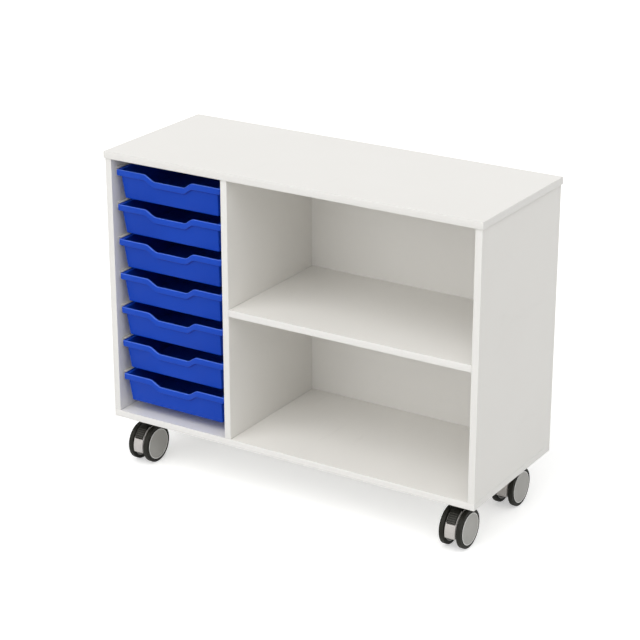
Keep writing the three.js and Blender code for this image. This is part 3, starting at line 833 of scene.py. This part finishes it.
def castor_hood(castor, braked):
    node = f"{castor}_castor_hood"
    axle = castor_axle(castor)
    half_width = Vector((hood_width / 2, 0, 0))
    top = corners_of(node)[1].z
    swivel = Vector((axle.x, axle.y + castor_trail, 0))
    bm = bmesh.new()
    turn = Matrix.Translation(axle - half_width) @ Matrix.Rotation(math.radians(90), 4, "Y")
    bmesh.ops.create_circle(bm, cap_ends=True, segments=120, radius=hood_radius, matrix=turn)
    bmesh.ops.bisect_plane(bm, geom=bm.verts[:] + bm.edges[:] + bm.faces[:],
                           plane_co=axle - Vector((0, 0, hood_foot)), plane_no=(0, 0, -1),
                           clear_outer=True)
    made = bmesh.ops.extrude_face_region(bm, geom=bm.faces[:])
    bmesh.ops.translate(bm, vec=2 * half_width, verts=made_verts(made))
    bmesh.ops.recalc_face_normals(bm, faces=bm.faces)
    bmesh.ops.delete(bm, geom=[f for f in bm.faces if f.normal.z < -0.99], context="FACES")
    if braked:
        cut_window(bm, axle, hood_width / 2 - hood_wall, window_from, window_to)
    bm.normal_update()
    bmesh.ops.solidify(bm, geom=bm.faces[:], thickness=hood_wall)
    round_edges(bm, sharp_edges(bm, 60), 0.5 * MM, 2)
    up = Vector((0, 0, 1))
    neck_foot = axle.z + hood_radius - neck_into_hood
    rod(bm, swivel + up * neck_foot, swivel + up * (top - neck_into_cup), hood_width / 2, 0.5 * MM)
    rod(bm, swivel + up * (top - cup_height), swivel + up * top, cup_radius, 1.2 * MM)
    boss_end = half_width - Vector((1 * MM, 0, 0))
    rod(bm, axle - boss_end, axle + boss_end, hub_boss_radius, 0.5 * MM)
    for face in bm.faces:
        if braked and face.calc_center_median().z > axle.z + hood_crown:
            face.material_index = 1
    finishes = (hood_plastic, pedal_plastic) if braked else (hood_plastic,)
    return finished(bm, f"{castor}_castor_cover", node, f"{castor}_fork", finishes, 40)


for castor in castors:
    hood = castor_hood(castor, castor.startswith("front"))
print(hood.name, len(hood.data.polygons), "faces", *measure(hood))

# %% Brake pedals
toe_angle, pedal_sweep = 31, 45  # degrees up from the front, and round the axle
pedal_steps = 50
pedal_radii = 47.5 * MM, 51.5 * MM, 53.0 * MM  # inside, between the ribs and on them
rib_steps, rib_width, rib_count = 7, 4, 5


def brake_pedal(castor):
    axle = castor_axle(castor)
    node = f"{castor}_castor_pedal"
    low, high = corners_of(node)
    inner, groove, outer = pedal_radii
    start, sweep = math.radians(toe_angle), math.radians(pedal_sweep)
    toe = Vector((0, -math.cos(start), math.sin(start)))
    bm = bmesh.new()
    points = [bm.verts.new(axle + toe * radius + Vector((x - axle.x, 0, 0)))
              for radius, x in ((inner, low.x), (groove, low.x), (groove, high.x), (inner, high.x))]
    line = [bm.edges.new((points[i], points[i - 1])) for i in range(4)]
    bmesh.ops.spin(bm, geom=points + line, cent=axle, axis=(1, 0, 0), angle=-sweep,
                   steps=pedal_steps)
    bmesh.ops.holes_fill(bm, edges=[e for e in bm.edges if e.is_boundary], sides=4)
    bmesh.ops.recalc_face_normals(bm, faces=bm.faces)
    raised = []
    for f in bm.faces:
        place = f.calc_center_median()
        step = int((math.radians(angle_up(place, axle)) - start) / sweep * pedal_steps)
        ribbed = step % rib_steps < rib_width or step >= rib_count * rib_steps
        if ribbed and abs(f.normal.x) < 0.5 and out_from(place, axle) > groove - 0.2 * MM:
            raised.append(f)
    made = bmesh.ops.extrude_face_region(bm, geom=raised)
    for vert in made_verts(made):
        out = Vector((0, vert.co.y - axle.y, vert.co.z - axle.z))
        vert.co += out.normalized() * (outer - groove)
    bmesh.ops.delete(bm, geom=[f for f in raised if f.is_valid], context="FACES")
    bmesh.ops.remove_doubles(bm, verts=bm.verts, dist=0.001 * MM)
    bmesh.ops.recalc_face_normals(bm, faces=bm.faces)
    round_edges(bm, sharp_edges(bm, 50), 0.3 * MM, 2)
    # Rib tops carry the number that the finish paints paler, as scuffing and a painted highlight.
    wear_and_highlight = bm.verts.layers.float.new("wear_and_highlight")
    last_rib = toe_angle + rib_count * rib_steps * pedal_sweep / pedal_steps
    for vert in bm.verts:
        on_rib = angle_up(vert.co, axle) < last_rib and out_from(vert.co, axle) > outer - 0.5 * MM
        vert[wear_and_highlight] = 1.0 if on_rib else 0.0
    name, body = f"{castor}_castor_brake", f"{castor}_pedal"
    return finished(bm, name, node, body, (pedal_plastic,), 40)


for castor in castors[:2]:
    pedal = brake_pedal(castor)
    print(pedal.name, len(pedal.data.polygons), "faces", *measure(pedal))

# %% Mounting plates
plate_thickness = 2.8 * MM
plate_corner = 8 * MM
plate_screws = 26 * MM  # from the middle of the plate, both ways


def mounting_plate(castor):
    node = f"{castor}_castor_plate"
    low, high = corners_of(node)
    low = Vector((low.x, low.y, high.z - plate_thickness))
    bm = boxed(low, high)
    upright = [e for e in bm.edges if abs(e.verts[0].co.z - e.verts[1].co.z) > 1 * MM]
    round_edges(bm, upright, plate_corner, 6)
    round_edges(bm, sharp_edges(bm, 50), 0.5 * MM, 2)
    middle = (low + high) / 2
    turn = Matrix.Rotation(math.pi, 4, "X")
    for x in (-plate_screws, plate_screws):
        for y in (-plate_screws, plate_screws):
            place = Vector((middle.x + x, middle.y + y, low.z - 1.0 * MM))
            screw_head(bm, place, turn, 5 * MM, 2.2 * MM)
    return finished(bm, f"{castor}_castor_mount", node, "carcass", (zinc,), 40)


for castor in castors:
    mount = mounting_plate(castor)
print(mount.name, *measure(mount))

# %% [markdown]
# ## What stays from the CAD model
# The axles and the pedal pins are plain steel rods inside the castors. Their CAD shapes are right,
# so they stay and only get the zinc finish in place of the flat CAD colour.

# %% CAD rods
rods = [f"{castor}_castor_axle" for castor in castors]
rods += [f"{castor}_castor_pedal_pin" for castor in castors[:2]]
for name in rods:
    rod_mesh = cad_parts[name].data
    rod_mesh.materials.clear()
    rod_mesh.materials.append(zinc)
print("CAD nodes kept:", [n for n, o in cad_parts.items() if not o.hide_render])
